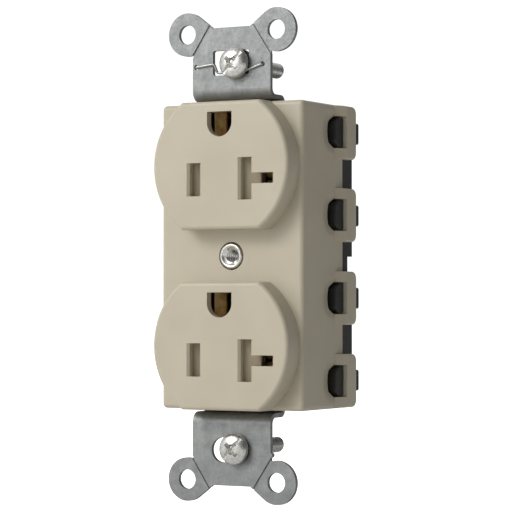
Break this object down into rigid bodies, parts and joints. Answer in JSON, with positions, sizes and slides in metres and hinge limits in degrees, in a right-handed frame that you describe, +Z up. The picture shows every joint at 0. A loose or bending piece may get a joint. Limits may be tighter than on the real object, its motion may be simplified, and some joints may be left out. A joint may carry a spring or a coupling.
{
  "type": "duplex wall outlet",
  "caption": "Tamper-resistant duplex wall outlet with T-slot faces, snap-latched two-part body, metal mounting strap with break-off ears and a rear plug-in wiring port.",
  "frame": {"origin": "on the axis of the centre cover-plate screw hole, in the flat front plane of the body, which is also the front plane of the strap's end plates", "axes": "+X to the right seen from the front, +Y back into the wall, +Z up; ground holes above the blade slots"},
  "size_m": [0.0386, 0.0292, 0.1068],
  "materials": {
    "ivory_nylon": "moulded, semi-gloss",
    "black_nylon": "moulded, fine grain",
    "zinc_steel": "zinc plated, satin",
    "nickel_brass": "nickel plated, bright",
    "brass": "stamped strip",
    "shutter_nylon": "moulded",
    "spring_steel": "drawn wire",
    "screw_steel": "nickel plated, bright",
    "fibre": "pressed fibre"
  },
  "bodies": {
    "outlet": {"front_cover": "ivory_nylon", "back_body": "black_nylon", "mounting_strap": "zinc_steel", "cover_screw_bush": "nickel_brass", "hot_bus": "brass", "neutral_bus": "brass", "upper_ground_contact": "brass", "lower_ground_contact": "brass", "ground_terminal": "brass", "ground_rivets": "nickel_brass", "upper_shutter_tray": "shutter_nylon", "lower_shutter_tray": "shutter_nylon", "upper_shutter_spring": "spring_steel", "lower_shutter_spring": "spring_steel", "grounding_wire": "spring_steel"},
    "upper_shutter": {"upper_tamper_shutter": "shutter_nylon"},
    "lower_shutter": {"lower_tamper_shutter": "shutter_nylon"},
    "top_retainer": {"screw_retainer_top": "fibre"},
    "bottom_retainer": {"screw_retainer_bottom": "fibre"},
    "top_screw": {"mounting_screw_top": "screw_steel"},
    "bottom_screw": {"mounting_screw_bottom": "screw_steel"}
  },
  "joints": [
    {"name": "upper_shutter_slide", "type": "slide", "parent": "outlet", "child": "upper_shutter", "axis": [-1, 0, 0], "range_m": [0, 0.0042], "stiffness_N_per_m": 80, "springref_m": -0.002, "deforming": ["upper_shutter_spring"]},
    {"name": "lower_shutter_slide", "type": "slide", "parent": "outlet", "child": "lower_shutter", "axis": [-1, 0, 0], "range_m": [0, 0.0042], "stiffness_N_per_m": 80, "springref_m": -0.002, "deforming": ["lower_shutter_spring"]},
    {"name": "top_screw_shift", "type": "slide", "parent": "outlet", "child": "top_retainer", "axis": [1, 0, 0], "range_m": [-0.0028, 0.0008]},
    {"name": "top_screw_turn", "type": "hinge", "parent": "top_retainer", "child": "top_screw", "pos_m": [0.0013, 0, 0.04167], "axis": [0, 1, 0], "continuous": true},
    {"name": "bottom_screw_shift", "type": "slide", "parent": "outlet", "child": "bottom_retainer", "axis": [1, 0, 0], "range_m": [-0.004, 0.0012]},
    {"name": "bottom_screw_turn", "type": "hinge", "parent": "bottom_retainer", "child": "bottom_screw", "pos_m": [0.0013, 0, -0.04167], "axis": [0, 1, 0], "continuous": true}
  ]
}
